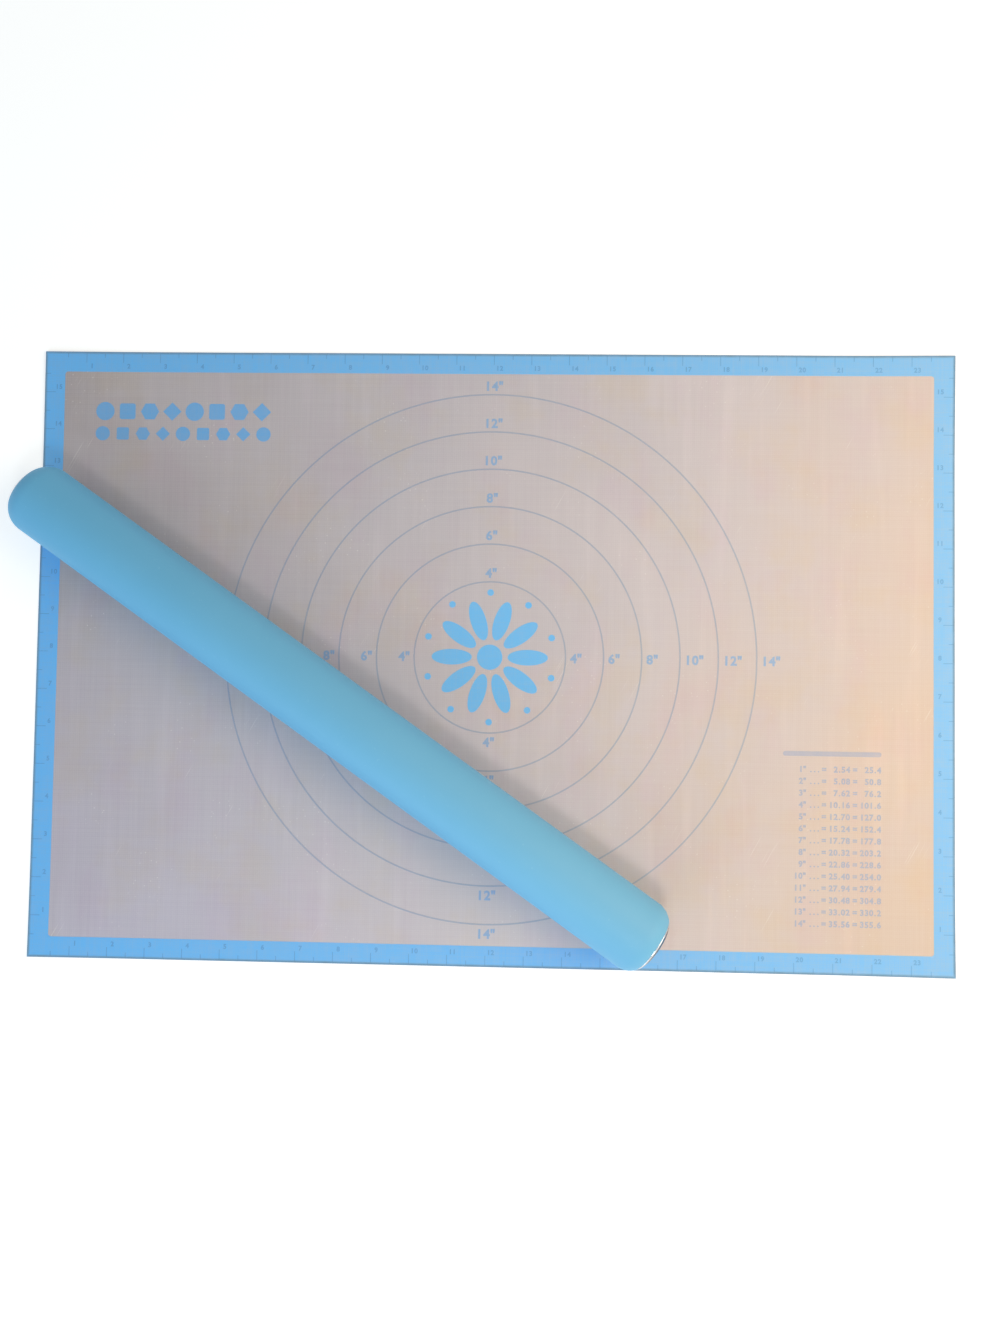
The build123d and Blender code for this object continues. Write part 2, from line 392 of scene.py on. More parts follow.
def build_cloth_material():
    material, start, place = new_material("woven glass cloth")
    weave = woven(start, place)
    fibres = start.noise(start.stretched(place, 9000, 9000, 300), 1.0, detail=2.0)
    soiled = start.noise(place, 60.0, detail=3.0).above(0.35, 0.75)
    close_material(
        start,
        {
            "Base Color": soiled.blend(colour(196, 192, 184), colour(122, 116, 110)),
            "Roughness": fibres * 0.3 + 0.55,
            "Normal": (weave * 0.6 + fibres * 0.4).bump(0.8, 0.0001),
        },
    )
    return material


def build_mat_layer():
    """A full layer of the mat, as a grid fine enough to follow the ripples."""
    tree, given = new_film_tree(
        "mat layer",
        Length="Float",
        Width="Float",
        Cells_Along="Int",
        Cells_Across="Int",
    )
    grid = given["Length"].add(
        "GeometryNodeMeshGrid",
        {},
        {
            "Size X": given["Length"],
            "Size Y": given["Width"],
            "Vertices X": given["Cells_Along"] + 1,
            "Vertices Y": given["Cells_Across"] + 1,
        },
    )
    lay_film(grid, given)
    return tree


mat_cells_along = 112
mat_cells_across = 75
mat_layer = build_mat_layer()
coat_material = build_coat_material()
cloth_material = build_cloth_material()
for node, finish, slot in (
    ("lower_silicone_coat", coat_material, "clear_silicone"),
    ("glass_fibre_mesh", cloth_material, "glass_cloth"),
    ("upper_silicone_coat", coat_material, "clear_silicone"),
):
    low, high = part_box(node)
    layer = made_by(
        mat_layer,
        node.replace("silicone_coat", "coat_sheet").replace("fibre_mesh", "cloth_sheet"),
        Length=mat_length,
        Width=mat_width,
        Cells_Along=mat_cells_along,
        Cells_Across=mat_cells_across,
        Bottom=low.z,
        Thickness=high.z - low.z,
        Finish=finish,
    )
    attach(layer, "mat")
    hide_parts(node)


# The border is a band of light blue silicone ink, screen printed on the upper coat right out to
# the cut edge. It is thin enough for the weave to show through as a fine relief and tint.
def build_ink(name, ink, cover, under=None):
    """Silicone ink on the mat: its pair of colours, and how much of what lies under it it hides. The
    pair goes from the ink's colour at the mat's left end to a brighter one at its right end, painted
    light, and the ink darkens along the cut edge, painted shade.
    """
    material, start, place = new_material(name)
    weave = woven(start, place)
    streaks = thread_streaks(start, place)
    mottle = start.noise(place, 130.0, detail=4.0, roughness=0.6)
    base = under or mat_tone(start, place)
    x, y, _ = start.parts(place)
    # The ink brightens from the mat's left end to its right end: painted light.
    lit_ink = (x * (ink_brightening / mat_length) + 0.5).clamped().blend(*ink)
    uneven = weave * ink_weave + (streaks - 0.5) * ink_streaks + (mottle - 0.5) * ink_mottle
    hidden = (uneven + (cover - ink_weave / 2)).clamped()
    from_side = mat_length / 2 - x.math("ABSOLUTE")
    from_edge = from_side.math("MINIMUM", mat_width / 2 - y.math("ABSOLUTE"))
    # A darker band along the mat's cut edge: painted shade of the edge.
    painted_edge_shade_mask = from_edge.above(edge_shade_reach, full_edge_shade) * (mottle * 0.8 + 0.3)
    relief = weave * 0.6 + mottle * 0.4
    close_material(
        start,
        {
            "Base Color": painted_edge_shade_mask.blend(hidden.blend(base, lit_ink), painted_edge_shade),
            "Roughness": mottle * 0.2 + 0.38,
            "IOR": silicone_ior,
            "Normal": relief.bump(0.3, 0.0001),
        },
    )
    return material


def rectangle(start, width, height, round_by=None):
    """A closed outline round the middle, which may have rounded corners."""
    inputs = {"Width": width, "Height": height}
    outline = start.add("GeometryNodeCurvePrimitiveQuadrilateral", {}, inputs)
    if round_by is None:
        return outline
    inputs = {"Curve": outline, "Radius": round_by, "Count": corner_steps}
    return start.add("GeometryNodeFilletCurve", {"mode": "POLY"}, inputs)


def circle(start, steps, radius):
    """A closed outline round the middle, made of straight steps."""
    return start.add("GeometryNodeCurvePrimitiveCircle", {}, {"Resolution": steps, "Radius": radius})


def in_steps(outline, step):
    """An outline with its long runs cut into steps, so that it can follow the ripples."""
    here = outline.add("GeometryNodeInputPosition")
    following = outline.add("GeometryNodeOffsetPointInCurve", {}, {"Offset": 1}, output="Point Index")
    inputs = {"Index": following, "Value": here}
    there = outline.add("GeometryNodeFieldAtIndex", {"data_type": "FLOAT_VECTOR"}, inputs)
    settings = {"operation": "DISTANCE"}
    run = outline.add("ShaderNodeVectorMath", settings, {0: here, 1: there}, output="Value")
    return outline.add("GeometryNodeSubdivideCurve", {}, {"Curve": outline, "Cuts": run / step})


def together(*wires):
    """One geometry from several, in their order."""
    joined = wires[0].add("GeometryNodeJoinGeometry")
    for wire in reversed(wires):
        wire.tree.links.new(wire.socket, joined.socket.node.inputs[0])
    return joined


def set_out(points, instance, inputs):
    """Real copies of a geometry on points."""
    inputs = {"Points": points, "Instance": instance, **inputs}
    copies = points.add("GeometryNodeInstanceOnPoints", {}, inputs)
    return points.add("GeometryNodeRealizeInstances", {}, {"Geometry": copies})


def filled(*outlines):
    """The flat faces between outlines: an outer one, and the ones round its openings."""
    return outlines[0].add("GeometryNodeFillCurve", {}, {"Curve": together(*outlines)})


def build_border_band():
    tree, given = new_film_tree(
        "border band",
        Length="Float",
        Width="Float",
        Border="Float",
        Corner="Float",
        Step="Float",
    )
    length, width, border = given["Length"], given["Width"], given["Border"]
    outer = in_steps(rectangle(length, length, width), given["Step"])
    opening = rectangle(length, length - border * 2, width - border * 2, given["Corner"])
    faces = filled(outer, in_steps(opening, given["Step"]))
    lay_film(faces, given)
    return tree


# How fast each ink goes from its left colour to its brighter right one across the mat: painted light.
ink_brightening = 0.9
ink_weave = 0.08
ink_streaks = 0.35
ink_mottle = 0.22
# The colour and reach of the painted shade along the cut edge.
painted_edge_shade = colour(118, 146, 166)
edge_shade_reach = 0.0022
full_edge_shade = 0.0006
corner_steps = 6
border_width = 0.0138
border_corner_radius = 0.002
# The border ink at the mat's left end and the brighter right end: painted light.
border_blues = (colour(106, 186, 249), colour(136, 199, 249))
film_step = 0.004
ink_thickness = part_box("border_band")[1].z - mat_top
border_material = build_ink("light blue border ink", border_blues, 0.93)
border_band = made_by(
    build_border_band(),
    "printed_border",
    Length=mat_length,
    Width=mat_width,
    Border=border_width,
    Corner=border_corner_radius,
    Step=film_step,
    Bottom=mat_top,
    Thickness=ink_thickness,
    Finish=border_material,
)


def print_on_mat(piece, slot, *nodes):
    """A printed piece belongs to the mat and stands for its CAD nodes, where it has any."""
    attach(piece, "mat")
    if nodes:
        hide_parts(*nodes)


print_on_mat(border_band, "border_ink", "border_band")


# The ruler is a second, finer pass of darker ink on the border: a line along the cut edge, with a
# long tick at each inch and a short one at each half inch, counted from the middle of the mat.
def build_ruler_comb():
    tree, given = new_film_tree(
        "ruler comb",
        Length="Float",
        Width="Float",
        Edge_Line="Float",
        Pitch="Float",
        Inches_Along="Int",
        Inches_Across="Int",
        Inch_Tick="Float",
        Half_Tick="Float",
        Tick_Width="Float",
        Step="Float",
    )
    length, width, line = given["Length"], given["Width"], given["Edge_Line"]
    outer = in_steps(rectangle(length, length, width), given["Step"])
    inner = in_steps(rectangle(length, length - line * 2, width - line * 2), given["Step"])
    parts = [filled(outer, inner)]
    inputs = {"Size X": 1.0, "Size Y": 1.0, "Vertices X": 2, "Vertices Y": 2}
    tick = length.add("GeometryNodeMeshGrid", {}, inputs)
    stood = length.add("GeometryNodeTransform", {}, {"Geometry": tick, "Translation": (0, 0.5, 0)})
    parity = length.add("GeometryNodeInputIndex").math("MODULO", 2)
    tick_length = given["Half_Tick"] + parity * (given["Inch_Tick"] - given["Half_Tick"])
    size = length.vector(given["Tick_Width"], tick_length, 1.0)
    half_pitch = given["Pitch"] / 2
    for turn, inches, from_middle in (
        (0, given["Inches_Along"], width / 2 - line),
        (pi, given["Inches_Along"], width / 2 - line),
        (-pi / 2, given["Inches_Across"], length / 2 - line),
        (pi / 2, given["Inches_Across"], length / 2 - line),
    ):
        row = length.add(
            "GeometryNodeMeshLine",
            {},
            {
                "Count": inches * 2 - 1,
                "Start Location": length.vector((1 - inches) * half_pitch, from_middle * -1),
                "Offset": length.vector(half_pitch),
            },
        )
        ticks = set_out(row, stood, {"Scale": size})
        parts.append(row.add("GeometryNodeTransform", {}, {"Geometry": ticks, "Rotation": (0, 0, turn)}))
    lay_film(together(*parts), given)
    return tree


inch = 0.0254
inches_along = 24
inches_across = 16
ruler_line_width = 0.0007
inch_tick = 0.0075
half_inch_tick = 0.004
tick_width = 0.00045
ruler_bottom = mat_top + ink_thickness
# The ruler ink at the mat's left end and the brighter right end: painted light.
ruler_blues = (colour(70, 122, 176), colour(112, 158, 200))
ruler_material = build_ink("dark blue ruler ink", ruler_blues, 0.44, under=colour(124, 190, 246))
ruler_comb = made_by(
    build_ruler_comb(),
    "ruler_comb",
    Length=mat_length,
    Width=mat_width,
    Edge_Line=ruler_line_width,
    Pitch=inch,
    Inches_Along=inches_along,
    Inches_Across=inches_across,
    Inch_Tick=inch_tick - ruler_line_width,
    Half_Tick=half_inch_tick - ruler_line_width,
    Tick_Width=tick_width,
    Step=film_step,
    Bottom=ruler_bottom,
    Thickness=ink_thickness,
    Finish=ruler_material,
)
print_on_mat(ruler_comb, "ruler_ink", "ruler_ticks")


# Six size rings are printed round the middle, from 4 to 14 inches across, in a thin grey-blue ink
# that lets a good deal of the mat show through.
def build_size_ring():
    tree, given = new_film_tree("size ring", Radius="Float", Line="Float", Steps="Int")
    radii = (given["Radius"], given["Radius"] - given["Line"])
    outer, inner = (circle(radius, given["Steps"], radius) for radius in radii)
    lay_film(filled(outer, inner), given)
    return tree


ring_inches = (4, 6, 8, 10, 12, 14)
ring_line_width = 0.001
ring_step = 0.005
# The ring ink at the mat's left end and the brighter right end: painted light.
ring_blues = (colour(128, 150, 182), colour(160, 178, 196))
line_material = build_ink("grey-blue line ink", ring_blues, 0.54)
size_ring = build_size_ring()
ring_radius = {}
for inches in ring_inches:
    node = f"ring_{inches}_inch"
    ring_radius[inches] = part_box(node)[1].x
    ring = made_by(
        size_ring,
        f"printed_ring_{inches}",
        Radius=ring_radius[inches],
        Line=ring_line_width,
        Steps=int(2 * pi * ring_radius[inches] / ring_step),
        Bottom=mat_top,
        Thickness=ink_thickness,
        Finish=line_material,
    )
    print_on_mat(ring, "line_ink", node)


# The rings' sizes are printed upright just outside each ring, above, below, left and right of the
# middle, in a softer blue than the border's. Each number ends in an inch mark.
def build_figures():
    """Flat figures cut from Blender's own font, one metre high, each centred on its own width."""
    cuts = bpy.data.collections.new("figures")
    font = bpy.data.fonts.load("<builtin>")
    for place, character in enumerate(figure_order):
        name = f"figure_{place:02d}"
        text = bpy.data.curves.new(name, "FONT")
        text.font = font
        text.body = character
        text.resolution_u = figure_curve_steps
        text.offset = figure_boldness
        figure = bpy.data.objects.new(name, text)
        bpy.context.scene.collection.objects.link(figure)
        depsgraph = bpy.context.evaluated_depsgraph_get()
        mesh = bpy.data.meshes.new_from_object(figure.evaluated_get(depsgraph))
        bpy.data.objects.remove(figure)
        across = [vertex.co.x for vertex in mesh.vertices]
        middle = (min(across) + max(across)) / 2
        size = 1 / digit_height_in_font
        mesh.transform(Matrix.Scale(size, 4) @ Matrix.Translation((-middle, 0, 0)))
        cuts.objects.link(bpy.data.objects.new(name, mesh))
    return cuts


def build_printed_figures():
    """A tree that sets a figure on each point, which holds its number in the order and its height."""
    tree, given = new_film_tree("printed figures", Places="Geometry", Figures="Collection")
    places = given["Places"]
    cuts = {"Collection": given["Figures"], "Separate Children": True, "Reset Children": True}
    library = places.add("GeometryNodeCollectionInfo", {}, cuts)
    which = places.add("GeometryNodeInputNamedAttribute", {"data_type": "INT"}, {"Name": "figure"})
    height = places.add("GeometryNodeInputNamedAttribute", {"data_type": "FLOAT"}, {"Name": "height"})
    inputs = {"Pick Instance": True, "Instance Index": which, "Scale": height}
    lay_film(set_out(places, library, inputs), given)
    return tree


class Setting:
    """Places for printed figures, gathered number by number."""

    def __init__(self):
        self.places = []
        self.figures = []
        self.heights = []

    def write(self, text, x, y, height, anchor=0.5):
        """Set a text with its middle at y, and with x at its left (0), middle (0.5) or right (1)."""
        advances = [height * (figure_advance if c.isdigit() else mark_advance) for c in text]
        left = x - sum(advances) * anchor
        for character, advance in zip(text, advances):
            self.places.append((left + advance / 2, y - height / 2, 0))
            self.figures.append(figure_order.index(character))
            self.heights.append(height)
            left += advance

    def printed(self, name, bottom, finish):
        """All that has been written, as one piece of ink."""
        points = bpy.data.meshes.new(name)
        points.from_pydata(self.places, [], [])
        points.attributes.new("figure", "INT", "POINT").data.foreach_set("value", self.figures)
        points.attributes.new("height", "FLOAT", "POINT").data.foreach_set("value", self.heights)
        return made_by(
            printed_figures,
            name,
            start=points,
            Figures=figure_cuts,
            Bottom=bottom,
            Thickness=ink_thickness,
            Finish=finish,
        )


figure_order = "0123456789.=\""
figure_advance = 0.78
mark_advance = 0.5
figure_boldness = 0.034
figure_curve_steps = 3
digit_height_in_font = 0.729
figure_cuts = build_figures()
printed_figures = build_printed_figures()

ring_figure_height = 0.0062
ring_figure_clearance = 0.0024
# The figure ink at the mat's left end and the brighter right end: painted light.
ring_number_blues = (colour(124, 166, 212), colour(150, 188, 226))
number_material = build_ink("blue figure ink", ring_number_blues, 0.8)
sides = (("top", 0, 1), ("right", 1, 0), ("bottom", 0, -1), ("left", -1, 0))
for side, direction_x, direction_y in sides:
    setting = Setting()
    for inches in ring_inches:
        text = f'{inches}"'
        text_width = ring_figure_height * (len(str(inches)) * figure_advance + mark_advance)
        depth = abs(direction_x) * text_width + abs(direction_y) * ring_figure_height
        reach = ring_radius[inches] + ring_figure_clearance + depth / 2
        setting.write(text, direction_x * reach, direction_y * reach, ring_figure_height)
    numbers = setting.printed(f"ring_numbers_{side}", mat_top, number_material)
    print_on_mat(numbers, "figure_ink", f"ring_numerals_{side}")


# Small plain numbers on the border count the inches from the left end and from the front. They
# are printed in the ruler's own pass, just past each inch tick.
ruler_figure_height = 0.0032
ruler_figure_inset = 0.0097
ruler_figure_past_tick = 0.0037
setting = Setting()
for count in range(1, inches_along):
    x = (count - inches_along / 2) * inch + ruler_figure_past_tick
    for side in (-1, 1):
        setting.write(str(count), x, side * (mat_width / 2 - ruler_figure_inset), ruler_figure_height)
for count in range(1, inches_across):
    y = (count - inches_across / 2) * inch + ruler_figure_past_tick
    for side in (-1, 1):
        setting.write(str(count), side * (mat_length / 2 - ruler_figure_inset), y, ruler_figure_height)
print_on_mat(setting.printed("ruler_numbers", ruler_bottom, ruler_material), "ruler_ink")


# The conversion table stands at the lower right: a heading bar, and a row for each inch up to
# fourteen with its length in centimetres and millimetres. Only numbers and marks are printed.
def build_heading_bar():
    tree, given = new_film_tree(
        "heading bar",
        Length="Float",
        Height="Float",
        Middle="Vector",
        Step="Float",
    )
    end_radius = given["Height"] * round_end_share
    rounded = rectangle(given["Length"], given["Length"], given["Height"], end_radius)
    faces = filled(in_steps(rounded, given["Step"]))
    moved = faces.add("GeometryNodeTransform", {}, {"Geometry": faces, "Translation": given["Middle"]})
    lay_film(moved, given)
    return tree


# The table ink at the mat's left end and the brighter right end: painted light.
table_blues = (colour(146, 166, 204), colour(166, 180, 206))
table_material = build_ink("pale blue table ink", table_blues, 0.72)
table_low, table_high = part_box("conversion_rule")
heading_step = 0.0005
round_end_share = 0.499
heading_material = build_ink("pale blue heading ink", table_blues, 0.55)
heading = made_by(
    build_heading_bar(),
    "table_heading",
    Length=table_high.x - table_low.x,
    Height=table_high.y - table_low.y,
    Middle=((table_low.x + table_high.x) / 2, (table_low.y + table_high.y) / 2, 0),
    Step=heading_step,
    Bottom=mat_top,
    Thickness=ink_thickness,
    Finish=heading_material,
)
print_on_mat(heading, "figure_ink", "conversion_rule")

table_rows = 14
row_pitch = 0.0078
first_row_drop = 0.0117
table_figure_height = 0.0039
centimetres_to_inch = 2.54
inches_setback = 0.0492
leader_setbacks = (0.0462, 0.0437, 0.0412)
first_equals_setback = 0.0375
centimetres_setback = 0.0203
second_equals_setback = 0.0172
setting = Setting()
for count in range(1, table_rows + 1):
    y = table_high.y - first_row_drop - (count - 1) * row_pitch
    centimetres = count * centimetres_to_inch
    for text, setback, anchor in (
        (f'{count}"', inches_setback, 1),
        *((".", setback, 0.5) for setback in leader_setbacks),
        ("=", first_equals_setback, 0.5),
        (f"{centimetres:.2f}", centimetres_setback, 1),
        ("=", second_equals_setback, 0.5),
        (f"{centimetres * 10:.1f}", 0, 1),
    ):
        setting.write(text, table_high.x - setback, y, table_figure_height, anchor=anchor)
print_on_mat(setting.printed("table_numbers", mat_top, table_material), "figure_ink")


# Two rows of plain cutter shapes are printed at the upper left: discs, squares, hexagons and
# lozenges in turn, solid blue, the upper row larger than the lower.
def build_cutter_row():
    tree, given = new_film_tree(
        "cutter row",
        Height="Float",
        Count="Int",
        First="Vector",
        Pitch="Float",
        Square_Share="Float",
        Corner_Share="Float",
    )
    height = given["Height"]
    side = height * given["Square_Share"]
    square = rectangle(height, side, side, height * given["Corner_Share"])
    disc, hexagon, lozenge = (circle(height, corners, height / 2) for corners in (disc_steps, 6, 4))
    cuts = [
        height.add("GeometryNodeGeometryToInstance", {}, {0: filled(outline)})
        for outline in (disc, square, hexagon, lozenge)
    ]
    row = height.add(
        "GeometryNodeMeshLine",
        {},
        {
            "Count": given["Count"],
            "Start Location": given["First"],
            "Offset": height.vector(given["Pitch"]),
        },
    )
    turn = height.add("GeometryNodeInputIndex").math("MODULO", len(cuts))
    inputs = {"Pick Instance": True, "Instance Index": turn}
    lay_film(set_out(row, together(*cuts), inputs), given)
    return tree


disc_steps = 48
# The shape ink at the mat's left end and the brighter right end: painted light.
shape_blues = (colour(112, 176, 232), colour(122, 184, 240))
shape_material = build_ink("blue shape ink", shape_blues, 0.9)
shapes_low, shapes_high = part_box("cutter_shapes")
upper_shape_height = 0.0126
upper_shape_count = 8
lower_shape_height = 0.0098
lower_shape_count = 9
square_share = 0.86
square_corner_share = 0.12
cutter_row = build_cutter_row()
upper_row_y = shapes_high.y - upper_shape_height / 2
lower_row_y = shapes_low.y + lower_shape_height / 2
for name, shape_height, count, y in (
    ("upper_cutter_shapes", upper_shape_height, upper_shape_count, upper_row_y),
    ("lower_cutter_shapes", lower_shape_height, lower_shape_count, lower_row_y),
):
    row = made_by(
        cutter_row,
        name,
        Height=shape_height,
        Count=count,
        First=(shapes_low.x + shape_height / 2, y, 0),
        Pitch=(shapes_high.x - shapes_low.x - shape_height) / (count - 1),
        Square_Share=square_share,
        Corner_Share=square_corner_share,
        Bottom=mat_top,
        Thickness=ink_thickness,
        Finish=shape_material,
    )
    print_on_mat(row, "border_ink", "cutter_shapes")


# A plain rosette fills the middle of the smallest ring: a disc, ten petals and ten dots.
def build_rosette():
    tree, given = new_film_tree(
        "rosette",
        Disc_Radius="Float",
        Petals="Int",
        Petal_Root="Float",
        Petal_Tip="Float",
        Petal_Width="Float",
        Dot_Radius="Float",
        Dot_Place="Float",
    )
    petals = given["Petals"]
    disc, dot, unit = (
        circle(petals, disc_steps, radius) for radius in (given["Disc_Radius"], given["Dot_Radius"], 1.0)
    )
    petal_length = given["Petal_Tip"] - given["Petal_Root"]
    petal = petals.add(
        "GeometryNodeTransform",
        {},
        {
            "Geometry": filled(unit),
            "Translation": petals.vector((given["Petal_Tip"] + given["Petal_Root"]) / 2),
            "Scale": petals.vector(petal_length / 2, given["Petal_Width"] / 2, 1.0),
        },
    )
    turn = petals.add("GeometryNodeInputIndex") * (2 * pi) / petals
    half_turn = pi / petals
    dot_x = given["Dot_Place"] * half_turn.math("COSINE")
    dot_y = given["Dot_Place"] * half_turn.math("SINE")
    inputs = {"Geometry": filled(dot), "Translation": petals.vector(dot_x, dot_y)}
    moved_dot = petals.add("GeometryNodeTransform", {}, inputs)
    points = petals.add("GeometryNodePoints", {}, {"Count": petals})
    ring = set_out(points, together(petal, moved_dot), {"Rotation": petals.vector(z=turn)})
    lay_film(together(filled(disc), ring), given)
    return tree


# The rosette ink at the mat's left end and the brighter right end: painted light.
rosette_blues = (colour(120, 196, 252), colour(122, 198, 253))
rosette_material = build_ink("bright blue rosette ink", rosette_blues, 0.96)
rosette_disc_radius = 0.0085
petal_count = 10
petal_root = 0.012
petal_width = 0.0105
petal_tip_gap = 0.0023
dot_radius = 0.0022
dot_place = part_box("centre_rosette")[1].y - dot_radius
rosette = made_by(
    build_rosette(),
    "printed_rosette",
    Disc_Radius=rosette_disc_radius,
    Petals=petal_count,
    Petal_Root=petal_root,
    Petal_Tip=dot_place - dot_radius - petal_tip_gap,
    Petal_Width=petal_width,
    Dot_Radius=dot_radius,
    Dot_Place=dot_place,
    Bottom=mat_top,
    Thickness=ink_thickness,
    Finish=rosette_material,
)
print_on_mat(rosette, "border_ink", "centre_rosette")


# The rolling pin lies across the mat. A thin steel tube inside it stiffens the pin. The tube goes
# where the pin goes, but it doesn't turn with the roller.
def build_tube_material():
    material, start, place = new_material("drawn steel tube")
    drawn = start.noise(place, 400.0, detail=3.0)
    close_material(
        start,
        {
            "Base Color": drawn.blend(colour(150, 152, 156), colour(188, 190, 193)),
            "Metallic": 1.0,
            "Roughness": drawn * 0.25 + 0.3,
        },
    )
    return material


core_tube = frame["nodes"]["core_tube"]
core_tube.data.materials.clear()
core_tube.data.materials.append(build_tube_material())


# The roller is a thick sleeve of matte blue silicone, moulded round a bore that turns on the core
# tube. Its shoulders are rounded over and end in a small lip round each steel cap.
joints = {joint["name"]: joint for joint in frame["joints"]}
pin_middle = Vector(joints["pin_roll"]["pos_m"])
pin_axis = -Vector(joints["pin_roll"]["axis"])
pin_upright = Vector((0, 0, 1))
pin_across = pin_upright.cross(pin_axis)
pin_radius = 0.024
pin_half_length = 0.254
shoulder_radius = 0.014
shoulder_middle = pin_half_length - shoulder_radius
face_radius = pin_radius - shoulder_radius
sleeve_bore_radius = 0.0171
cap_rim_radius = 0.019
lip_radius = 0.0005
turning_steps = 144
arc_steps = 14
crease_angle = radians(28)


def shoulder_point(radius):
    """The point of the rounded shoulder that has the given radius, and how far round it is."""
    turn = acos((radius - face_radius) / shoulder_radius)
    return shoulder_middle + shoulder_radius * sin(turn), turn


def shoulder_arc(start, end, steps):
    """Points of the shoulder's arc between two turns from the pin's side."""
    turns = (start + (end - start) * step / steps for step in range(steps + 1))
    return [
        (shoulder_middle + shoulder_radius * sin(turn), face_radius + shoulder_radius * cos(turn))
        for turn in turns
    ]


def shade_smooth(mesh):
    """Shade a mesh smooth, but for its creases."""
    mesh.polygons.foreach_set("use_smooth", [True] * len(mesh.polygons))
    mesh.set_sharp_from_angle(angle=crease_angle)


def turned(name, outline, finish):
    """A piece turned on the pin's axis from a closed outline of places along it and radii."""
    points, loops = [], []
    for along, radius in outline:
        steps = turning_steps if radius > 0 else 1
        loops.append([len(points) + step % steps for step in range(turning_steps + 1)])
        for step in range(steps):
            angle = 2 * pi * step / turning_steps
            outwards = pin_across * cos(angle) + pin_upright * sin(angle)
            points.append(pin_middle + pin_axis * along + outwards * radius)
    faces = []
    for first, second in zip(loops, loops[1:] + loops[:1]):
        for step in range(turning_steps):
            corners = (first[step], first[step + 1], second[step + 1], second[step])
            face = list(dict.fromkeys(corners))
            if len(face) > 2:
                faces.append(face)
    mesh = bpy.data.meshes.new(name)
    mesh.from_pydata(points, [], faces)
    mesh.materials.append(finish)
    shade_smooth(mesh)
    piece = bpy.data.objects.new(name, mesh)
    bpy.context.scene.collection.objects.link(piece)
    return piece


def build_roller_material():
    material, start, place = new_material("matte blue roller silicone")
    cloud = start.noise(place, 16.0, detail=4.0, roughness=0.6)
    grain = start.noise(place, 1500.0, detail=2.0)
    dust = start.noise(place, 420.0, detail=5.0, roughness=0.7).above(0.62, 0.72) * dust_cover
    # The roller grows paler towards its right end: painted light.
    along = start.parts(place)[0] / (2 * pin_half_length) + 0.55
    shade = (along + (cloud - 0.5) * clouding).clamped().blend(*roller_blues)
    close_material(
        start,
        {
            "Base Color": dust.blend(shade, dust_colour),
            "Roughness": cloud * 0.18 + 0.42,
            "IOR": silicone_ior,
            "Sheen Weight": 0.3,
            "Sheen Roughness": 0.45,
            "Sheen Tint": sheen_tint,
            "Normal": grain.bump(0.3, 0.00008),
        },
    )
    return material


# Roller blue at the left end and the paler right end: painted light.
roller_blues = (colour(105, 177, 216), colour(129, 197, 233))
dust_colour = colour(150, 206, 232)
dust_cover = 0.3
clouding = 0.35
sheen_tint = (0.2, 0.62, 1.0, 1.0)
sleeve_end, sleeve_turn = shoulder_point(cap_rim_radius)
long_steps = 12
shoulder = shoulder_arc(0, sleeve_turn - lip_radius / shoulder_radius, arc_steps)
side = [(shoulder_middle * (2 * step / long_steps - 1), pin_radius) for step in range(1, long_steps)]
lip = [(sleeve_end, cap_rim_radius - lip_radius), (sleeve_end, sleeve_bore_radius)]
right_half = shoulder + lip
left_half = [(-along, radius) for along, radius in reversed(right_half)]
sleeve = turned("roller_sleeve", left_half + side + right_half, build_roller_material())
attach(sleeve, "pin_roller")
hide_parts("silicone_sleeve")


# A steel cap closes each end of the roller: a low button, turned on a lathe, with a hollow spigot that
# is pressed into the bore. Its rounded edge is polished steel; the outer end of that edge and the flat
# face are coloured dark, a painted dark reflection.
def build_cap_material():
    material, start, place = new_material("polished cap steel")
    settings = {"rotation_type": "EULER_XYZ"}
    turned_place = start.add(
        "ShaderNodeVectorRotate",
        settings,
        {"Vector": place, "Center": pin_middle, "Rotation": (0, 0, -pin_heading)},
    )
    settings = {"operation": "SUBTRACT"}
    apart = start.add("ShaderNodeVectorMath", settings, {0: turned_place, 1: pin_middle})
    x, y, z = start.parts(apart)
    from_axis = (y**2 + z**2).math("SQRT")
    # Mask of the cap's outer end, which carries the painted dark reflection.
    painted_reflection_mask = x.math("ABSOLUTE").above(pin_half_length - dark_reflection_starts, pin_half_length - dark_reflection_full)
    grooves = (from_axis * (2 * pi / lathe_groove)).math("SINE") * 0.5 + 0.5
    rubbed = start.noise(place, 220.0, detail=5.0, roughness=0.65)
    close_material(
        start,
        {
            # The dark steel pair is a painted dark reflection on the cap's outer end.
            "Base Color": painted_reflection_mask.blend(
                rubbed.blend(colour(200, 202, 205), colour(228, 229, 231)),
                rubbed.blend(colour(74, 80, 90), colour(106, 111, 120)),
            ),
            "Metallic": 1.0,
            "Roughness": rubbed * 0.16 + grooves * 0.05 + painted_reflection_mask * 0.1 + 0.1,
            "Normal": grooves.bump(0.12, 0.00003),
        },
    )
    return material


